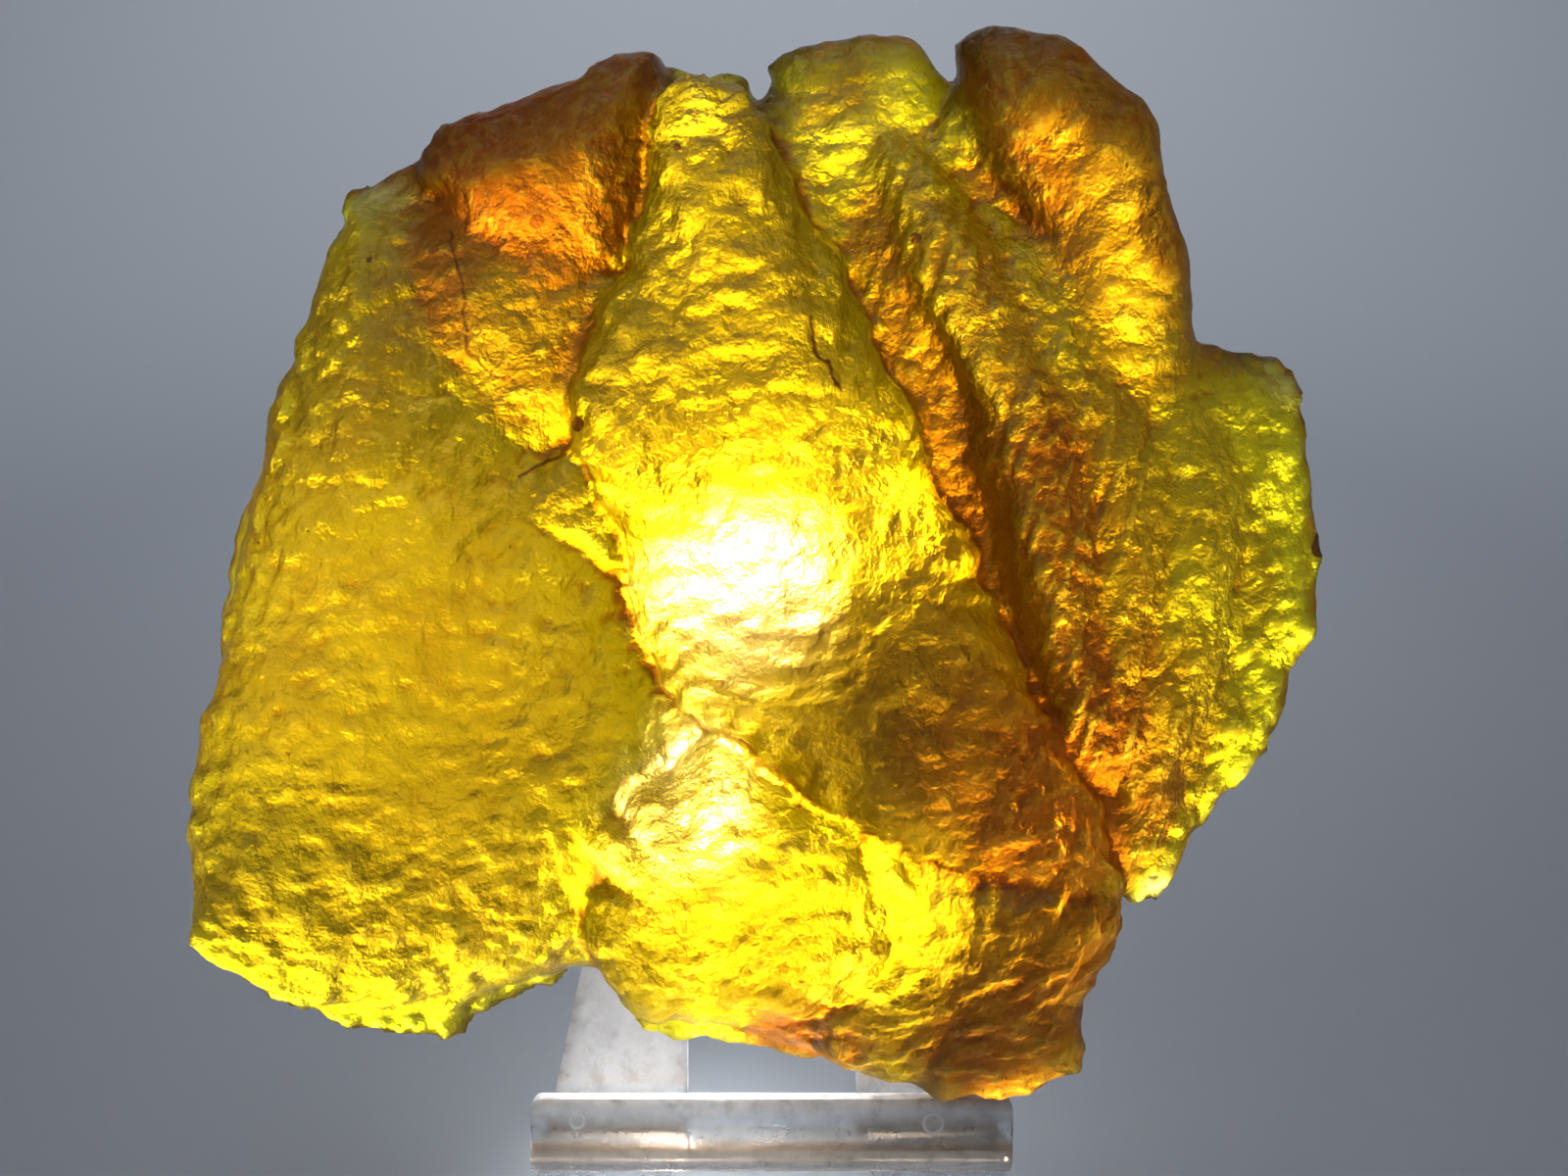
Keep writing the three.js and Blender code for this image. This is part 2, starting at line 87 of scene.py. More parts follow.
# ---------------------------------------------------------------------------------------------------------
# The clear easel: one piece of clear plastic with two uprights, two front feet, a ledge with a lip, and a
# rear leg. Its edges are eased, and handling has left it hazed and smudged where the crystal rests.
class Link:
    """A node socket that takes part in Python expressions, which add Math nodes to its tree."""

    def __init__(self, tree, socket):
        self.tree = tree
        self.socket = socket

    def math(self, operation, *others, clamp=False):
        settings = {"operation": operation, "use_clamp": clamp}
        values = {i: value for i, value in enumerate((self, *others))}
        return self.tree.add("ShaderNodeMath", settings, values)

    def __add__(self, other):
        return self.math("ADD", other)

    def __sub__(self, other):
        return self.math("SUBTRACT", other)

    def __rsub__(self, other):
        return self.tree.add("ShaderNodeMath", {"operation": "SUBTRACT"}, {0: other, 1: self})

    def __mul__(self, other):
        return self.math("MULTIPLY", other)

    def __truediv__(self, other):
        return self.math("DIVIDE", other)

    __radd__ = __add__
    __rmul__ = __mul__

    def between(self, low, high, low_value=0.0, high_value=1.0):
        """The value eased from low_value to high_value while this goes from low to high."""
        return self.tree.add("ShaderNodeMapRange", {"interpolation_type": "SMOOTHSTEP"}, {
            "Value": self, "From Min": low, "From Max": high, "To Min": low_value, "To Max": high_value,
        }, "Result")


class Tree:
    """A node tree that adds a node from its type, its settings and what its sockets take."""

    def __init__(self, node_tree):
        self.node_tree = node_tree

    def node(self, kind, settings=None, values=None):
        made = self.node_tree.nodes.new(kind)
        for name, value in (settings or {}).items():
            setattr(made, name, value)
        for key, value in (values or {}).items():
            socket = made.inputs[key]
            if isinstance(value, Link):
                self.node_tree.links.new(value.socket, socket)
            else:
                socket.default_value = value
        return made

    def add(self, kind, settings=None, values=None, output=0):
        return Link(self, self.node(kind, settings, values).outputs[output])

    def mix_colour(self, factor, first, second, blend="MIX"):
        made = self.node("ShaderNodeMix", {"data_type": "RGBA", "blend_type": blend})
        for index, value in ((0, factor), (6, first), (7, second)):
            if isinstance(value, Link):
                self.node_tree.links.new(value.socket, made.inputs[index])
            else:
                made.inputs[index].default_value = value
        return Link(self, made.outputs[2])

    def join(self, source, node, socket):
        self.node_tree.links.new(source.socket, node.inputs[socket])


def new_material(name):
    material = bpy.data.materials.new(name)
    material.use_nodes = True
    material.node_tree.nodes.clear()
    tree = Tree(material.node_tree)
    return material, tree, tree.node("ShaderNodeOutputMaterial")


CLEAR_IOR = 1.49
CLEAR_COLOUR = (0.97, 0.985, 1.0, 1)
# The amber is painted light from the crystal, not a colour of the plastic.
PAINTED_AMBER_LIGHT = (0.66, 0.42, 0.22, 1)
HAZE_COLOUR = (0.96, 0.985, 1.0, 1)
EASED_EDGE = 0.35 * MM
SCUFF_DEPTH = 0.05 * MM
GLOW_DEPTH = 2 * MM
LIP_TOP_V, LEDGE_V = -0.3, -6.3
RING_MARKS = ((-20.5, -2.6, 0.75), (17, -2.9, 1.0))


def plane_place(tree):
    """Object coordinates turned into the leaning plane's millimetres: u, depth, v."""
    place = tree.add("ShaderNodeTexCoord", output="Object")
    return tree.add("ShaderNodeMapping", {"vector_type": "TEXTURE"}, {
        "Vector": place, "Location": plane_origin, "Rotation": (-LEAN, 0, 0), "Scale": (MM, MM, MM),
    })


def clear_plastic():
    material, tree, output = new_material("clear_plastic")
    flat = plane_place(tree)
    height = tree.add("ShaderNodeSeparateXYZ", None, {0: flat}, "Z")

    def cloud(scale, detail, rough=0.6):
        values = {"Vector": flat, "Scale": scale, "Detail": detail, "Roughness": rough}
        return tree.add("ShaderNodeTexNoise", None, values)

    beads = tree.add("ShaderNodeTexVoronoi", {"feature": "SMOOTH_F1"}, {"Vector": flat, "Scale": 0.55})
    film = cloud(0.12, 6, 0.65).between(0.3, 0.62, 0.7, 1.0)
    wiped = (cloud(0.4, 5) * 1.2 + beads * 0.4).between(0.45, 0.85, 0.5, 1.0)
    upright = height.between(-3.5, -0.5)
    haze = film * wiped * (upright * 0.82 + 0.14)
    in_plane = tree.add("ShaderNodeVectorMath", {"operation": "MULTIPLY"}, {0: flat, 1: (1, 0, 1)})
    for u, v, radius in RING_MARKS:
        from_middle = {0: in_plane, 1: (u, 0, v)}
        away = tree.add("ShaderNodeVectorMath", {"operation": "DISTANCE"}, from_middle, "Value")
        haze = haze.math("MAXIMUM", (away - radius).math("ABSOLUTE").between(0.05, 0.28, 0.6, 0.0))
    # Painted amber light from the crystal: the clear plastic is tinted amber along the lip's top and the
    # ledge.
    cast = (height - LIP_TOP_V).math("ABSOLUTE").between(0.4, 1.2, 1.0, 0.0)
    cast = cast.math("MAXIMUM", (height - LEDGE_V).math("ABSOLUTE").between(0.5, 1.6, 0.9, 0.0))
    clear_colour = tree.mix_colour(cast, CLEAR_COLOUR, PAINTED_AMBER_LIGHT)
    scuffs = tree.add("ShaderNodeBump", None, {
        "Strength": 0.25, "Distance": SCUFF_DEPTH, "Height": cloud(1.6, 4),
    })
    clear = tree.add("ShaderNodeBsdfPrincipled", None, {
        "Base Color": clear_colour, "Roughness": cloud(0.4, 3).between(0.4, 0.7, 0.03, 0.14),
        "IOR": CLEAR_IOR, "Transmission Weight": 1.0, "Normal": scuffs,
    })
    hazed = tree.add("ShaderNodeBsdfPrincipled", None, {
        "Base Color": HAZE_COLOUR, "Roughness": 0.5, "IOR": CLEAR_IOR, "Transmission Weight": 0.1,
        "Subsurface Weight": 1.0, "Subsurface Radius": (1, 1, 1), "Subsurface Scale": GLOW_DEPTH,
        "Normal": scuffs,
    })
    tree.join(tree.add("ShaderNodeMixShader", None, {0: haze, 1: clear, 2: hazed}), output, "Surface")
    return material


def eased_copy(node, name, width):
    """A merged copy of a CAD node with small round edges."""
    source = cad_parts[node].data
    bm = bmesh.new()
    bm.from_mesh(source)
    bmesh.ops.remove_doubles(bm, verts=bm.verts, dist=1e-6)
    bmesh.ops.dissolve_limit(bm, angle_limit=math.radians(1), verts=bm.verts, edges=bm.edges)
    mesh = bpy.data.meshes.new(name)
    bm.to_mesh(mesh)
    bm.free()
    piece = bpy.data.objects.new(name, mesh)
    scene.collection.objects.link(piece)
    bevel = piece.modifiers.new("eased edges", "BEVEL")
    bevel.width = width
    bevel.segments = 3
    bevel.limit_method = "ANGLE"
    bevel.angle_limit = math.radians(35)
    bevel.harden_normals = True
    return piece


def finished(piece):
    """The piece with its modifiers turned into a plain mesh."""
    evaluated = piece.evaluated_get(bpy.context.evaluated_depsgraph_get())
    mesh = bpy.data.meshes.new_from_object(evaluated)
    piece.modifiers.clear()
    piece.data = mesh
    return piece


easel = finished(eased_copy("display_easel", "clear_easel", EASED_EDGE))
easel.data.materials.clear()
easel.data.materials.append(clear_plastic())
# A shadow from it would be a dark bar on the crystal, which clear plastic doesn't cast.
easel.visible_shadow = False
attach(easel, "root")
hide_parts("display_easel")


# ---------------------------------------------------------------------------------------------------------
# The sulfur crystal: one piece of native sulfur that grew as blades, lobes and thin flanges run together,
# and rests loose on the easel. Each lobe is a pillow about a centre, in the leaning plane's millimetres:
# a higher full is a flatter top and a lower edge steeper sides. Outlines run clockwise.
LOBES = {
    "body": dict(
        centre=(0, 57), mid=-4, slope=(0, 0), front=7, back=8.4, full=4,
        outline=[
            (-41.5, 95), (-31, 100.5), (-19, 104.5), (-12.5, 107), (-2.5, 103.5), (7.5, 108),
            (18.5, 103.5), (21.5, 109), (32, 105.5), (38, 101), (40.5, 90), (43.5, 81), (52, 76), (56, 67),
            (56.5, 57.5), (55, 47.5), (50.5, 39), (43, 26), (35, 20.5), (32, 9), (25.5, 1.5), (11.5, 4),
            (-2.5, 7), (-13, 9), (-20, 14.5), (-29, 12), (-35.5, 9), (-46.5, 10.5), (-56, 15), (-59, 23),
            (-58.5, 37.5), (-55, 55.5), (-51, 70), (-47, 82),
        ],
    ),
    "left_bulge": dict(
        centre=(-34, 46), mid=-3, slope=(-0.13, 0), front=14, back=8.5, full=2.4,
        outline=[
            (-41.5, 93.5), (-44.5, 89), (-47, 81), (-49.5, 74), (-52, 66), (-53.5, 56), (-56, 46),
            (-58.5, 35), (-59, 24), (-57.5, 16), (-49.5, 11.5), (-39.5, 10.5), (-29, 12), (-19, 14.5),
            (-10, 17), (-4, 27), (-5, 41.5), (-9, 57.5), (-16, 70), (-24, 80), (-31, 89),
        ],
    ),
    "left_rim": dict(
        centre=(-43, 45), mid=-6, slope=(0, 0), front=2.6, back=2.6, full=7,
        outline=[
            (-43, 95.5), (-45, 91), (-47.5, 81), (-51, 72), (-54, 64.5), (-56.5, 54), (-58, 43.5),
            (-59.5, 35.5), (-60, 24.5), (-59.5, 16), (-56, 13), (-48.5, 8.5), (-40, 6.5), (-33.5, 5.5),
            (-29.5, 9.5), (-23, 12), (-19, 17), (-24, 31), (-31, 53.5), (-31, 74), (-35.5, 90),
            (-37.5, 96),
        ],
    ),
    "upper_left": dict(
        centre=(-21, 91), mid=-1.5, slope=(0.03, 0.07), front=9.5, back=10, full=3, edge=0.45,
        outline=[
            (-36.5, 96.5), (-33, 100.5), (-27, 102), (-22.5, 103), (-18.5, 106), (-14.5, 108),
            (-11.5, 107), (-10, 103.5), (-11.5, 95.5), (-13.5, 87.5), (-16, 81), (-18.5, 76.5), (-23, 74),
            (-27, 74.5), (-28.5, 81), (-32, 89),
        ],
    ),
    "shoulder": dict(
        centre=(-25, 76), mid=-2, slope=(0.03, 0.05), front=10, back=9, full=2.2,
        outline=[
            (-37, 90), (-27, 92), (-15, 88), (-13, 80), (-16, 70), (-22, 64), (-32, 62), (-40, 68),
            (-42, 80),
        ],
    ),
    "blade": dict(
        centre=(4, 57), mid=1.9, slope=(-0.12, 0.02), front=11, back=10, full=3.2, edge=0.36,
        outline=[
            (-2, 103), (1.5, 98), (4, 89.5), (7.5, 85), (10.5, 78), (15, 69.5), (18, 61.5), (20, 57),
            (23.5, 50), (27.5, 43.5), (32, 36.5), (35, 28), (36, 21.5), (34, 17), (27.5, 19), (17.5, 23),
            (9.5, 28), (5.5, 31), (2, 35), (-6, 40.5), (-10.5, 44.5), (-13.5, 49), (-15, 53), (-14, 57),
            (-16, 62.5), (-19, 67.5), (-19, 74), (-16, 81), (-13.5, 87.5), (-11.5, 95.5), (-10, 103),
            (-6.5, 105),
        ],
    ),
    "facet": dict(
        centre=(-19.5, 61), mid=4, slope=(0.1, 0.1), front=4, back=9, full=3,
        outline=[
            (-25.5, 64.5), (-20, 67.5), (-17, 65), (-14, 60.5), (-14.5, 55), (-17.5, 56), (-23, 58.5),
            (-24.5, 60.5),
        ],
    ),
    "upper_right": dict(
        centre=(31, 94), mid=-1.5, slope=(0, 0.06), front=8, back=9.5, full=4.5,
        outline=[
            (18.5, 108), (22, 110.5), (28.5, 108.5), (32.5, 106.5), (38, 102), (39.5, 97), (41, 90),
            (42.5, 85), (40, 79.5), (35, 76), (30, 81), (24.5, 91), (21.5, 96), (19.5, 102.5),
        ],
    ),
    "right_shoulder": dict(
        centre=(34, 80), mid=-2.5, slope=(0, 0.05), front=8.5, back=8, full=2.2,
        outline=[
            (22, 88), (30, 97), (40, 95), (43, 84), (44.5, 77), (40, 68), (31, 65), (24, 74),
        ],
    ),
    "top_centre": dict(
        centre=(11, 95), mid=-6, slope=(0, 0), front=6, back=5, full=4,
        outline=[
            (-0.5, 105.5), (-0.5, 107.5), (2.5, 109), (5.5, 110), (10.5, 111), (14.5, 109.5), (17.5, 107),
            (18.5, 104.5), (21.5, 96), (25, 84), (19.5, 72), (11.5, 79), (6, 88), (1.5, 97),
        ],
    ),
    "top_chip": dict(
        centre=(-6, 103), mid=-6, slope=(0, 0), front=4, back=5, full=4,
        outline=[
            (-12, 107), (-6.5, 106.5), (-3, 106.5), (-1.8, 105), (-2, 100), (-6, 98), (-11, 100),
        ],
    ),
    "groove_rib": dict(
        centre=(15.5, 76), mid=-2, slope=(0, 0), front=7, back=9, full=2.4,
        outline=[
            (7.5, 97.5), (11.5, 96), (17.5, 82), (21.5, 71), (23.5, 57.5), (20.5, 55.5), (16, 61.5),
            (13, 70), (9.5, 75.5), (6, 84),
        ],
    ),
    "middle_rib": dict(
        centre=(24, 66), mid=0, slope=(0, -0.04), front=11, back=10, full=2.2,
        outline=[
            (9.5, 100), (15.5, 99), (22.5, 90), (29.5, 76), (33.5, 61.5), (34.5, 49.5), (33.5, 34),
            (30.5, 36.5), (26, 47), (22.5, 56), (20, 69), (15.5, 80), (10.5, 92),
        ],
    ),
    "outer_rib": dict(
        centre=(33, 62), mid=0, slope=(-0.05, 0), front=8.5, back=9, full=2.4,
        outline=[
            (21.5, 93), (28.5, 85.5), (35.5, 76), (39, 66), (40, 53.5), (38.5, 41.5), (35.5, 32),
            (33, 40.5), (32, 53.5), (30.5, 68), (25.5, 80),
        ],
    ),
    "flange": dict(
        centre=(44, 55), mid=-5, slope=(0, 0), front=4, back=4, full=5,
        outline=[
            (33, 78), (41, 84.5), (43.5, 82.5), (44.5, 79.5), (47.5, 77.5), (49.5, 78), (52.5, 77.5),
            (55, 73.5), (56.5, 67.5), (57.5, 58), (56.5, 49), (53.5, 41.5), (50.5, 34), (45.5, 29),
            (43.5, 25), (39.5, 20.5), (36, 21.5), (32, 33), (30, 53.5), (30.5, 68),
        ],
    ),
    "flange_rib": dict(
        centre=(41, 54), mid=-4, slope=(-0.08, 0), front=9, back=7, full=2.4,
        outline=[
            (36.5, 80), (42, 79), (46.5, 73), (48.5, 61.5), (47, 49.5), (43.5, 37.5), (39.5, 25), (36, 24),
            (34.5, 33), (36.5, 48.5), (37, 66), (34, 73),
        ],
    ),
    "lower_centre": dict(
        centre=(-5, 23), mid=-1, slope=(0, 0.12), front=14, back=9, full=2.8, edge=0.4,
        outline=[
            (-5.5, 40.5), (-9, 37), (-13.5, 35), (-17, 32.5), (-19, 28.5), (-17, 26.5), (-19, 24),
            (-19.5, 19.5), (-17.5, 17), (-16.5, 13), (-13, 9.5), (-7, 9), (0, 10), (7.5, 11.5), (14.5, 17),
            (14.5, 25), (9.5, 31), (2, 35),
        ],
    ),
    "lower_right": dict(
        centre=(18, 14), mid=-2.8, slope=(0, 0.3), front=10, back=8, full=2.8, edge=0.4,
        outline=[
            (9, 31), (14.5, 28.5), (21.5, 27), (31, 26), (35.5, 21), (34, 16), (33, 9.5), (32.5, 4),
            (29, 1.5), (24.5, 0), (17.5, 0.2), (8.5, 3), (3.5, 6.5), (2, 13), (4.5, 20), (6.5, 26.5),
        ],
    ),
    "bottom_tab": dict(
        centre=(-2, 10), mid=-8, slope=(0, 0), front=3, back=3.6, full=5,
        outline=[
            (-15, 12), (-15, 10.5), (-14.5, 7.5), (-10, 5.5), (-3.5, 5), (2, 4), (8.5, 3), (12.5, 8),
            (9.5, 14), (-0.5, 17), (-11, 16),
        ],
    ),
}
OUTLINE_STEPS = 12
ANGULAR = 0.55
CHIP_SEED = 7
CHIPS = ((9, 1.3), (2.7, 0.9), (1.2, 0.8))
CROWN_RINGS = 18
VOXEL = 0.6
RIM_REACH, OFF_LOBE = 1.03, 99


def rounded_outline(points, steps):
    """A closed smooth curve through the points, the same one at every size of step."""
    points = np.array(points, float)
    count = len(points)
    curve = []
    for i in range(count):
        a, b, c, d = (points[(i + k) % count] for k in (-1, 0, 1, 2))
        ab, bc, cd = (math.sqrt(np.linalg.norm(q - p)) for p, q in ((a, b), (b, c), (c, d)))
        leave = ((b - a) / ab - (c - a) / (ab + bc) + (c - b) / bc) * bc
        arrive = ((c - b) / bc - (d - b) / (bc + cd) + (d - c) / cd) * bc
        for step in range(steps):
            t = step / steps
            straight = b + (c - b) * t
            round_one = (
                (2 * t**3 - 3 * t**2 + 1) * b + (t**3 - 2 * t**2 + t) * leave
                + (3 * t**2 - 2 * t**3) * c + (t**3 - t**2) * arrive
            )
            curve.append(straight * ANGULAR + round_one * (1 - ANGULAR))
    return np.array(curve)


def broken_outline(points, steps):
    """The smooth outline with small chips along it, as brittle edges have."""
    rim = rounded_outline(points, steps)
    for i, (u, v) in enumerate(rim):
        for pitch, size in CHIPS:
            rim[i] += np.array(noise.noise_vector(Vector((u, v, 0)) / pitch)[:2]) * size
    return rim


def add_lobe(bm, lobe):
    rim = broken_outline(lobe["outline"], OUTLINE_STEPS)
    centre = np.array(lobe["centre"], float)
    slope = np.array(lobe["slope"], float)
    count = len(rim)

    def ring_at(share, height):
        flat = centre + (rim - centre) * share
        rise = height * (1 - share ** lobe["full"]) ** lobe.get("edge", 0.5)
        heights = lobe["mid"] + (flat - centre) @ slope + rise
        return [bm.verts.new((u, v, w)) for (u, v), w in zip(flat, heights)]

    edge = ring_at(1, 0)
    for height in (lobe["front"], -lobe["back"]):
        outer = edge
        for step in range(1, CROWN_RINGS):
            ring = ring_at(math.sqrt(1 - step / CROWN_RINGS), height)
            for i in range(count):
                j = (i + 1) % count
                corners = (outer[i], outer[j], ring[j], ring[i])
                bm.faces.new(corners if height < 0 else corners[::-1])
            outer = ring
        top = bm.verts.new((*centre, lobe["mid"] + height))
        for i in range(count):
            corners = (outer[i], outer[(i + 1) % count], top)
            bm.faces.new(corners if height < 0 else corners[::-1])


def grown_together(name):
    """All the lobes as one closed skin, in the leaning plane's millimetres."""
    noise.seed_set(CHIP_SEED)
    bm = bmesh.new()
    for lobe in LOBES.values():
        add_lobe(bm, lobe)
    mesh = bpy.data.meshes.new(name)
    bm.to_mesh(mesh)
    bm.free()
    piece = bpy.data.objects.new(name, mesh)
    scene.collection.objects.link(piece)
    skin = piece.modifiers.new("one skin", "REMESH")
    skin.mode = "VOXEL"
    skin.voxel_size = VOXEL
    return finished(piece)


def points_of(mesh):
    points = np.zeros(len(mesh.vertices) * 3)
    mesh.vertices.foreach_get("co", points)
    return points.reshape(-1, 3)


def keep_outer_skin(mesh):
    """Deletes what was sealed between lobes, and leaves the one outer skin."""
    bm = bmesh.new()
    bm.from_mesh(mesh)
    unseen = set(bm.verts)
    skins = []
    while unseen:
        stack = [unseen.pop()]
        skin = set(stack)
        while stack:
            for edge in stack.pop().link_edges:
                for vert in edge.verts:
                    if vert in unseen:
                        unseen.discard(vert)
                        skin.add(vert)
                        stack.append(vert)
        skins.append(skin)
    largest = max(skins, key=len)
    sealed = [vert for skin in skins if skin is not largest for vert in skin]
    bmesh.ops.delete(bm, geom=sealed, context="VERTS")
    bm.to_mesh(mesh)
    bm.free()


crystal = grown_together("sulfur_body")
keep_outer_skin(crystal.data)


def lobe_shares(lobe, flat):
    """How far out each point is in the lobe, 0 at its centre and 1 on its outline."""
    rim = rounded_outline(lobe["outline"], OUTLINE_STEPS) - lobe["centre"]
    angles = np.arctan2(rim[:, 1], rim[:, 0])
    order = np.argsort(angles)
    angles, reach = angles[order], np.hypot(rim[:, 0], rim[:, 1])[order]
    away = flat - lobe["centre"]
    reached = np.interp(np.arctan2(away[:, 1], away[:, 0]), angles, reach, period=2 * math.pi)
    return np.hypot(away[:, 0], away[:, 1]) / reached


def nearest_lobes(points):
    """The index of the lobe whose skin each point is on."""
    flat, heights = points[:, :2], points[:, 2]
    misses = []
    for lobe in LOBES.values():
        share = lobe_shares(lobe, flat)
        plane = lobe["mid"] + (flat - lobe["centre"]) @ np.array(lobe["slope"], float)
        rise = np.clip(1 - share ** lobe["full"], 0, 1) ** lobe.get("edge", 0.5)
        crown, belly = plane + lobe["front"] * rise, plane - lobe["back"] * rise
        miss = np.minimum(abs(heights - crown), abs(heights - belly))
        misses.append(np.where(share < RIM_REACH, miss, OFF_LOBE))
    return np.argmin(misses, axis=0)


# How melted together, grooved and scalloped each lobe is, and how much amber shade is painted on it where
# it is thick or little lit, from 0 to about 1.
SMOOTH_GROWN = {
    "groove_rib": 0.9, "middle_rib": 0.9, "outer_rib": 0.9, "upper_right": 0.6, "upper_left": 0.5,
    "shoulder": 0.9, "right_shoulder": 0.9, "flange_rib": 0.8, "body": 0.7, "top_centre": 0.5,
    "left_bulge": 0.5,
}
STRIATED = {"groove_rib": 0.8, "middle_rib": 1.0, "outer_rib": 1.0, "flange": 0.5, "flange_rib": 0.7}
SCALLOPED = {
    "blade": 1.0, "left_bulge": 1.2, "lower_centre": 0.8, "lower_right": 0.9, "body": 0.9, "flange": 0.3,
}
AMBER_SHADE = {
    "body": 0.38, "left_bulge": 0.28, "upper_left": 0.95, "shoulder": 0.7, "blade": 0.05, "facet": 0.15,
    "upper_right": 0.85, "right_shoulder": 0.65, "top_centre": 0.15, "top_chip": 0.1, "groove_rib": 1.0,
    "middle_rib": 0.8, "outer_rib": 0.6, "flange": 0.1, "flange_rib": 0.3, "lower_right": 0.25,
    "bottom_tab": 0.2,
}
MELT_ROUNDS, MELT_EDGE_ROUNDS = 24, 4
FORM_EDGE_ROUNDS, AMBER_SHADE_EDGE_ROUNDS = 6, 3
# Soft round spots of more amber, painted shade, or of less amber, painted glow where lamps shine through:
# u, v, radius and amount.
AMBER_SHADE_AND_GLOW_PATCHES = (
    (-37, 88, 9, 0.6), (27, 33, 17, 0.9), (20, 62, 9, 0.5), (2, 8, 7, 1.3), (24, 6, 12, 0.7),
    (-8, 32, 10, -0.5), (12, 21, 8, -0.6), (-10, 9, 6, -0.6), (8, 106, 6, 0.4), (-42, 90, 7, -0.4),
)
# Painted glow: pale spots where the lamps behind shine through and on thin rims.
PAINTED_GLOW_SPOTS = (
    (-2, 53, 11, 1), (-9, 33, 10, 1), (-40, 94, 5, 0.7), (45, 81, 6, 0.6), (53, 75, 5, 0.5),
    (41, 22, 4, 0.6),
)
PAINTED_GLOW_TIGHTNESS = 2
# Clouds inside the crystal: name, pitch and octaves.
CLOUDINGS = (("mottle", 9, 3), ("dirty", 12, 1))
CLOUD_FALL, CLOUD_STEP = 0.65, 2


def softened(mesh, values, rounds):
    """Values that spread a little over the mesh's edges."""
    ends = np.zeros(len(mesh.edges) * 2, int)
    mesh.edges.foreach_get("vertices", ends)
    first, second = ends.reshape(-1, 2).T
    count = len(values)
    meeting = np.bincount(first, minlength=count) + np.bincount(second, minlength=count)
    for _ in range(rounds):
        around = np.bincount(first, values[second], count) + np.bincount(second, values[first], count)
        values = (values + around) / (1 + meeting)
    return values


def store(mesh, name, values):
    attribute = mesh.attributes.new(name, "FLOAT", "POINT")
    attribute.data.foreach_set("value", values.astype(np.float32))


def softened_points(mesh, points, rounds):
    return np.stack([softened(mesh, points[:, axis], rounds) for axis in range(3)], axis=1)


def by_owner(shares, owners):
    """Each point's share, from the lobe that it is on."""
    return np.array([shares.get(lobe, 0.0) for lobe in LOBES])[owners]


def with_spots(values, flat, spots, tightness=1):
    """Values with soft round spots added to them."""
    for u, v, radius, amount in spots:
        away_squared = ((flat - (u, v)) ** 2).sum(axis=1)
        values = values + amount * np.exp(-away_squared / radius**2 * tightness)
    return values


grown = points_of(crystal.data)
owners = nearest_lobes(grown)
melted = softened_points(crystal.data, grown, MELT_ROUNDS)
melting = softened(crystal.data, by_owner(SMOOTH_GROWN, owners), MELT_EDGE_ROUNDS)
grown += (melted - grown) * melting[:, None]
crystal.data.vertices.foreach_set("co", grown.ravel())
grown = points_of(crystal.data)
# Painted shade: amber by lobe and in patches, less amber where there is painted glow.
amber_shade = with_spots(by_owner(AMBER_SHADE, owners), grown[:, :2], AMBER_SHADE_AND_GLOW_PATCHES)
store(crystal.data, "striated", softened(crystal.data, by_owner(STRIATED, owners), FORM_EDGE_ROUNDS))
store(crystal.data, "scalloped", softened(crystal.data, by_owner(SCALLOPED, owners), FORM_EDGE_ROUNDS))
store(crystal.data, "amber_shade", softened(crystal.data, amber_shade, AMBER_SHADE_EDGE_ROUNDS))
store(crystal.data, "pale", with_spots(0, grown[:, :2], PAINTED_GLOW_SPOTS, PAINTED_GLOW_TIGHTNESS))
for name, pitch, octaves in CLOUDINGS:
    clouds = [noise.fractal(Vector(point) / pitch, CLOUD_FALL, CLOUD_STEP, octaves) for point in grown]
    store(crystal.data, name, np.array(clouds))


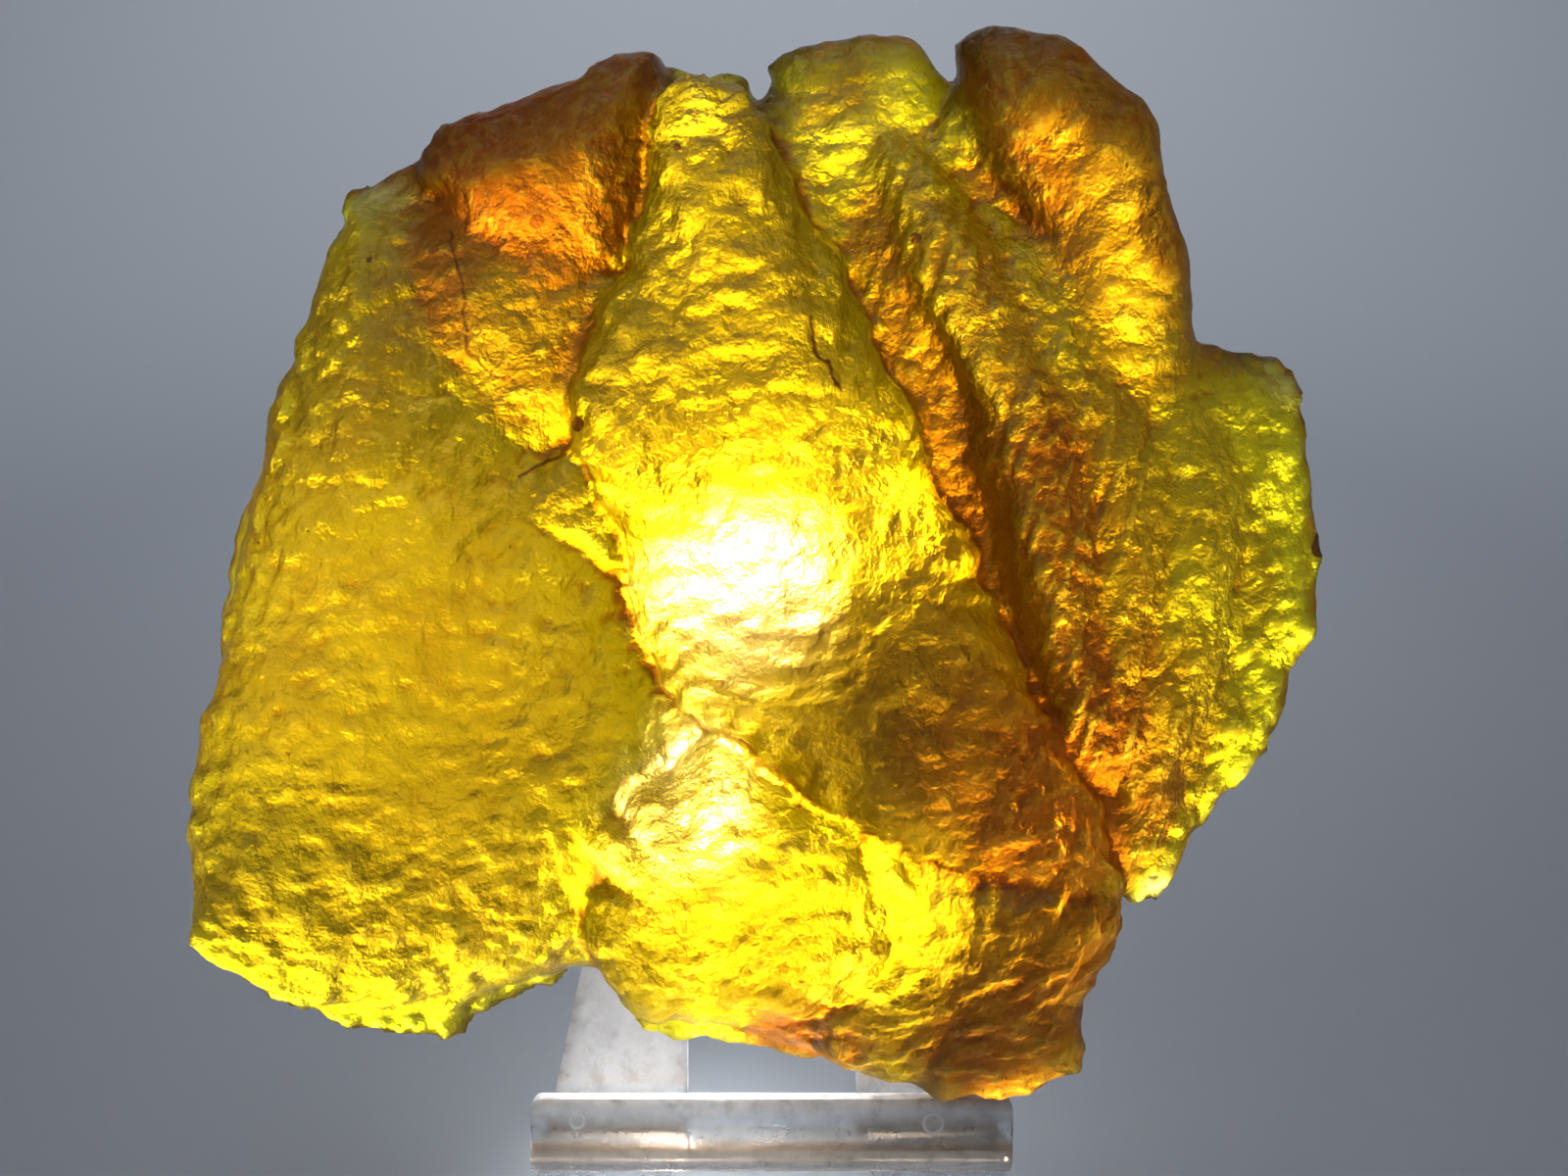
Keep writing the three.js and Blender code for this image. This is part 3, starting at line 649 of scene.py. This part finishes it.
def weathering_tree():
    """Moves a skin along its normals: broad unevenness, scallops, long grooves, grain and pits."""
    group = bpy.data.node_groups.new("weathering", "GeometryNodeTree")
    face = group.interface
    face.new_socket("Geometry", in_out="INPUT", socket_type="NodeSocketGeometry")
    for name in ("Swell", "Scallop", "Chip", "Groove", "Grain", "Pit"):
        face.new_socket(name, in_out="INPUT", socket_type="NodeSocketFloat")
    face.new_socket("Material", in_out="INPUT", socket_type="NodeSocketMaterial")
    face.new_socket("Geometry", in_out="OUTPUT", socket_type="NodeSocketGeometry")
    tree = Tree(group)
    given = tree.node("NodeGroupInput")

    def want(name):
        return Link(tree, given.outputs[name])

    place = tree.add("GeometryNodeInputPosition")
    normal = tree.add("GeometryNodeInputNormal")

    def attribute(name):
        return tree.add("GeometryNodeInputNamedAttribute", {"data_type": "FLOAT"}, {"Name": name})

    def cloud(scale, detail, rough, vector=place, distortion=0.0):
        return tree.add("ShaderNodeTexNoise", None, {
            "Vector": vector, "Scale": scale, "Detail": detail, "Roughness": rough,
            "Distortion": distortion,
        }) - 0.5

    def cells(vector, scale=1.0):
        return tree.add("ShaderNodeTexVoronoi", {"feature": "F1"}, {"Vector": vector, "Scale": scale})

    def stretched(vector, degrees, scale):
        """A place turned in the leaning plane, then stretched along each axis."""
        turned = tree.add("ShaderNodeVectorRotate", {"rotation_type": "Z_AXIS"}, {
            "Vector": vector, "Angle": math.radians(degrees),
        })
        return tree.add("ShaderNodeVectorMath", {"operation": "MULTIPLY"}, {0: turned, 1: scale})

    wander = tree.add("ShaderNodeTexNoise", None, {"Vector": place, "Scale": 0.35, "Detail": 3}, "Color")
    warped = tree.add("ShaderNodeVectorMath", {"operation": "MULTIPLY_ADD"}, {
        0: wander, 1: (5, 5, 5), 2: place,
    })
    swell = cloud(0.085, 2, 0.5)
    ripples = cloud(1.0, 3, 0.55, stretched(place, -8, (0.16, 0.42, 0.3)), 0.6)
    flakes = cells(stretched(warped, -12, (0.26, 0.46, 0.4))) - 0.5
    chips = cells(stretched(warped, 15, (0.62, 0.8, 0.7))) - 0.5
    grooves = cloud(1.0, 4, 0.6, stretched(place, 19, (1.1, 0.06, 0.3)), 0.15)
    grain = cloud(0.8, 5, 0.66)
    pits = cells(warped, 0.4).between(0.0, 0.30, 1.0, 0.0) * cloud(0.1, 3, 0.6).between(0.05, 0.15)
    scalloped = attribute("scalloped")
    striated = attribute("striated")
    height = (
        swell * want("Swell")
        + (ripples + flakes) * want("Scallop") * (0.4 + scalloped * 0.6)
        + chips * want("Chip")
        + grooves * striated * want("Groove")
        + grain * want("Grain")
        - pits * want("Pit")
    )
    facing = tree.add("ShaderNodeSeparateXYZ", None, {0: normal}, "Z").math("ABSOLUTE")
    height = height * facing.between(0.1, 0.8, 0.12, 1.0)
    offset = tree.add("ShaderNodeVectorMath", {"operation": "SCALE"}, {0: normal, "Scale": height})
    moved = tree.add("GeometryNodeSetPosition", None, {"Geometry": want("Geometry"), "Offset": offset})
    real = tree.add("GeometryNodeRealizeInstances", None, {"Geometry": moved})
    faced = tree.add("GeometryNodeSetMaterial", None, {"Geometry": real, "Material": want("Material")})
    tree.join(faced, tree.node("NodeGroupOutput"), "Geometry")
    return group


def weathered(piece, material, sizes):
    group = weathering_tree()
    modifier = piece.modifiers.new("weathering", "NODES")
    modifier.node_group = group
    named = {item.name: item.identifier for item in group.interface.items_tree if item.in_out == "INPUT"}
    for name, size in sizes.items():
        modifier[named[name]] = size
    modifier[named["Material"]] = material
    return finished(piece)


SULFUR_IOR = 1.6
SULFUR_ABSORBS = (0.993, 0.963, 0.92, 1)
SULFUR_DENSITY = 560
LEMON = (0.97, 0.95, 0.012, 1)
AMBER = (0.50, 0.165, 0.002, 1)
# Pale colour for the painted glow.
PAINTED_GLOW_COLOUR = (0.98, 1.0, 0.5, 1)
SHADED = (0.60, 0.36, 0.15, 1)
# Colour for a painted highlight on ridges.
PAINTED_HIGHLIGHT = (1.0, 0.99, 0.10, 1)
# Dark grains, dirt specks and the painted shade in cracks.
DIRT_AND_CRACK_SHADE = (0.16, 0.05, 0.004, 1)
GRAIN_BUMP = 0.25 * MM
GRAIN_RAGGEDNESS, GRAIN_CORE = 1.1, 0.85
CRACK_WIDTH, CRACK_WANDER = 0.3, 1.2
# Dark grains are u, v and radius; cracks, painted dark as the shade in them, are paths of u, v.
BLACK_GRAINS = (
    (-18.5, 69.8, 0.6), (-22.6, 89.6, 0.8), (-39.3, 86, 0.5), (-5.8, 57.5, 0.45), (56.4, 57.8, 0.9),
    (-8.8, 95.7, 0.5), (56.7, 58.6, 0.8), (-13.5, 62, 0.3), (14, 88, 0.4), (-31, 18, 0.4),
)
CRACKS = (
    ((-28.7, 76.4), (-27.1, 74.7), (-24.6, 73.9)), ((-24.6, 64.7), (-22.1, 66.3), (-19.8, 67.3)),
    ((-31.5, 89), (-29.5, 82), (-28.8, 76.6)), ((3.8, 79.6), (4.7, 76), (6.7, 72.9)),
)


def sulfur():
    material, tree, output = new_material("sulfur")
    flat = plane_place(tree)
    clouds = {}

    def cloud(scale, detail, rough=0.6):
        """Clouded noise over the crystal, each kind made once."""
        if (scale, detail, rough) not in clouds:
            values = {"Vector": flat, "Scale": scale, "Detail": detail, "Roughness": rough}
            clouds[scale, detail, rough] = tree.add("ShaderNodeTexNoise", None, values)
        return clouds[scale, detail, rough]

    in_plane = tree.add("ShaderNodeVectorMath", {"operation": "MULTIPLY"}, {0: flat, 1: (1, 0, 1)})

    def around(u, v, radius, raggedness, core):
        """A ragged round patch, 1 in its middle."""
        from_middle = {0: in_plane, 1: (u, 0, v)}
        away = tree.add("ShaderNodeVectorMath", {"operation": "DISTANCE"}, from_middle, "Value")
        return (away + (cloud(0.25, 2) - 0.5) * raggedness * 2).between(core, radius, 1.0, 0.0)

    wander = tree.add("ShaderNodeVectorMath", {"operation": "MULTIPLY_ADD"}, {
        0: cloud(0.25, 2), 1: (2 * CRACK_WANDER, 0, 2 * CRACK_WANDER), 2: in_plane,
    })

    def along(start, end, width):
        """A thin wandering line between two places."""
        first = Vector((start[0] + CRACK_WANDER, 0, start[1] + CRACK_WANDER))
        run = Vector((end[0] - start[0], 0, end[1] - start[1]))
        from_first = tree.add("ShaderNodeVectorMath", {"operation": "SUBTRACT"}, {0: wander, 1: first})
        part = tree.add("ShaderNodeVectorMath", {"operation": "DOT_PRODUCT"}, {
            0: from_first, 1: run,
        }, "Value")
        share = (part / run.length_squared).math("MAXIMUM", 0.0).math("MINIMUM", 1.0)
        reached = tree.add("ShaderNodeVectorMath", {"operation": "SCALE"}, {0: run, "Scale": share})
        away = tree.add("ShaderNodeVectorMath", {"operation": "DISTANCE"}, {
            0: from_first, 1: reached,
        }, "Value")
        return away.between(0.2 * width, width, 1.0, 0.0)

    amber_shade, mottle, relief, crease, pale, dirty = (
        tree.add("ShaderNodeAttribute", {"attribute_name": name}, None, "Fac")
        for name in ("amber_shade", "mottle", "relief", "crease", "pale", "dirty")
    )
    fine = cloud(1.25, 2, 0.6)
    specks = cloud(0.9, 2, 0.5)
    # Painted shade in the hollows of the worn skin.
    shade = relief.between(-2.4, -0.2, 0.75, 0.0)
    dirt_and_crack_shade = specks.between(0.73, 0.78) * dirty.between(0.1, 0.4)
    for u, v, radius in BLACK_GRAINS:
        dirt_and_crack_shade = dirt_and_crack_shade.math("MAXIMUM", around(u, v, radius, GRAIN_RAGGEDNESS, GRAIN_CORE * radius))
    # Painted shade: cracks are darkened along their paths.
    for path in CRACKS:
        for start, end in zip(path, path[1:]):
            dirt_and_crack_shade = dirt_and_crack_shade.math("MAXIMUM", along(start, end, CRACK_WIDTH))

    # Painted shade: more amber on lobes that are thick or little lit and in broad creases; the mottle is
    # the crystal's own uneven tone.
    shade_and_mottle = amber_shade + mottle * 0.3 + crease.between(-1.3, -0.2, 0.8, -0.08)
    tint = tree.mix_colour(shade_and_mottle.between(-0.1, 1.1), LEMON, AMBER)
    # Painted glow: paler where the lamps behind shine through and on thin rims.
    tint = tree.mix_colour((pale + (cloud(0.25, 2) - 0.5) * 0.8).between(0.1, 0.9), tint, PAINTED_GLOW_COLOUR)
    # Painted shade in hollows and a painted highlight on ridges of the worn skin.
    tint = tree.mix_colour(shade * 0.9, tint, tree.mix_colour(1.0, tint, SHADED, "MULTIPLY"))
    tint = tree.mix_colour(relief.between(0.2, 1.8, 0.0, 0.5), tint, PAINTED_HIGHLIGHT)
    colour = tree.mix_colour(dirt_and_crack_shade, tint, DIRT_AND_CRACK_SHADE)
    bump = tree.add("ShaderNodeBump", None, {"Strength": 1.0, "Distance": GRAIN_BUMP, "Height": fine})
    shader = tree.add("ShaderNodeBsdfPrincipled", None, {
        "Base Color": colour, "Roughness": fine.between(0.3, 0.7, 0.28, 0.44), "IOR": SULFUR_IOR,
        "Transmission Weight": 1.0, "Normal": bump,
    })
    tree.join(shader, output, "Surface")
    absorbed = tree.add("ShaderNodeVolumeAbsorption", None, {
        "Color": SULFUR_ABSORBS, "Density": SULFUR_DENSITY,
    })
    tree.join(absorbed, output, "Volume")
    return material


WEATHERING = {"Swell": 1.8, "Scallop": 0.7, "Chip": 0.45, "Groove": 1.9, "Grain": 1.0, "Pit": 0.25}
# How far the worn skin stands out of a calmer one: name, rounds of calming and size.
STANDINGS = (("relief", 9, 0.14), ("crease", 40, 0.8))

crystal = weathered(crystal, sulfur(), WEATHERING)
worn = points_of(crystal.data)
facing = np.zeros(len(worn) * 3)
crystal.data.vertices.foreach_get("normal", facing)
for name, rounds, size in STANDINGS:
    calm = softened_points(crystal.data, worn, rounds)
    store(crystal.data, name, ((worn - calm) * facing.reshape(-1, 3)).sum(axis=1) / size)
placed = np.array([on_plane(*point) for point in worn])
crystal.data.vertices.foreach_set("co", placed.ravel())
crystal.data.update()
for polygon in crystal.data.polygons:
    polygon.use_smooth = True
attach(crystal, "root")
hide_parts("sulfur_crystal")


# ---------------------------------------------------------------------------------------------------------
# The studio: a plain pale sweep, soft lamps above and to the left, one on the backdrop, and lamps behind
# the crystal and the easel that make them glow from within. The widest of those isn't seen in
# reflections, where it would be a white rim. Few light bounces keep a render short.
SWEEP_HALF = 1.6
SWEEP_FRONT, SWEEP_BACK, SWEEP_TURN, SWEEP_TOP = -1.2, 0.45, 0.35, 1.8
SWEEP_STEPS = 24
PAPER = (0.50, 0.53, 0.58, 1)
ROOM_COLOUR, ROOM_STRENGTH = (0.75, 0.82, 0.95, 1), 0.12
LIGHT_BOUNCES = 4


def sweep():
    bm = bmesh.new()
    turn = [
        (SWEEP_BACK + SWEEP_TURN * math.sin(a), SWEEP_TURN * (1 - math.cos(a)))
        for a in (math.pi / 2 * step / SWEEP_STEPS for step in range(SWEEP_STEPS + 1))
    ]
    side = [(SWEEP_FRONT, 0), *turn, (SWEEP_BACK + SWEEP_TURN, SWEEP_TOP)]
    rows = [[bm.verts.new((x, y, z)) for x in (-SWEEP_HALF, SWEEP_HALF)] for y, z in side]
    for near, far in zip(rows, rows[1:]):
        bm.faces.new((near[0], near[1], far[1], far[0]))
    mesh = bpy.data.meshes.new("sweep")
    bm.to_mesh(mesh)
    bm.free()
    for polygon in mesh.polygons:
        polygon.use_smooth = True
    material, tree, output = new_material("pale_paper")
    paper = tree.add("ShaderNodeBsdfPrincipled", None, {"Base Color": PAPER, "Roughness": 0.85})
    tree.join(paper, output, "Surface")
    mesh.materials.append(material)
    stage = bpy.data.objects.new("sweep", mesh)
    scene.collection.objects.link(stage)
    return stage


def lamp(name, place, aim, size, power, spread=180):
    data = bpy.data.lights.new(name, "AREA")
    data.shape = "DISK"
    data.size = size
    data.energy = power
    data.spread = math.radians(spread)
    made = bpy.data.objects.new(name, data)
    made.location = place
    made.rotation_euler = (Vector(aim) - Vector(place)).to_track_quat("-Z", "Y").to_euler()
    made.visible_camera = False
    scene.collection.objects.link(made)
    return made


sweep()
middle = on_plane(0, 53, 0)
lamp("behind", on_plane(-4, 57, -26), on_plane(-2, 51, 0), 0.014, 0.013, spread=80)
lamp("behind_low", on_plane(-6, 30, -22), on_plane(-8, 32, 0), 0.008, 0.11, spread=80)
lamp("behind_left", on_plane(-46, 42, -40), on_plane(-44, 42, 0), 0.04, 0.0010, spread=120)
lamp("behind_right", on_plane(12, 20, -22), on_plane(12, 21, 0), 0.01, 0.007, spread=90)
lamp("behind_easel", on_plane(-8, 22, -60), on_plane(-9, -1, -14), 0.03, 0.013, spread=60)
lamp("behind_soft", (0.0, 0.42, 0.17), middle, 0.3, 0.125, spread=45).visible_glossy = False
lamp("soft_top", (0.0, -0.25, 0.9), middle, 0.6, 0.4)
lamp("backdrop", (0.0, 0.25, 0.9), (0, 0.85, 0.25), 0.5, 2.0, spread=120)
lamp("soft_left", (-0.7, -0.5, 0.5), middle, 0.5, 0.25)
world = bpy.data.worlds.new("room")
world.use_nodes = True
world.node_tree.nodes["Background"].inputs["Color"].default_value = ROOM_COLOUR
world.node_tree.nodes["Background"].inputs["Strength"].default_value = ROOM_STRENGTH
scene.world = world
scene.view_settings.view_transform = "Standard"
scene.view_settings.look = "Medium High Contrast"
scene.cycles.max_bounces = LIGHT_BOUNCES
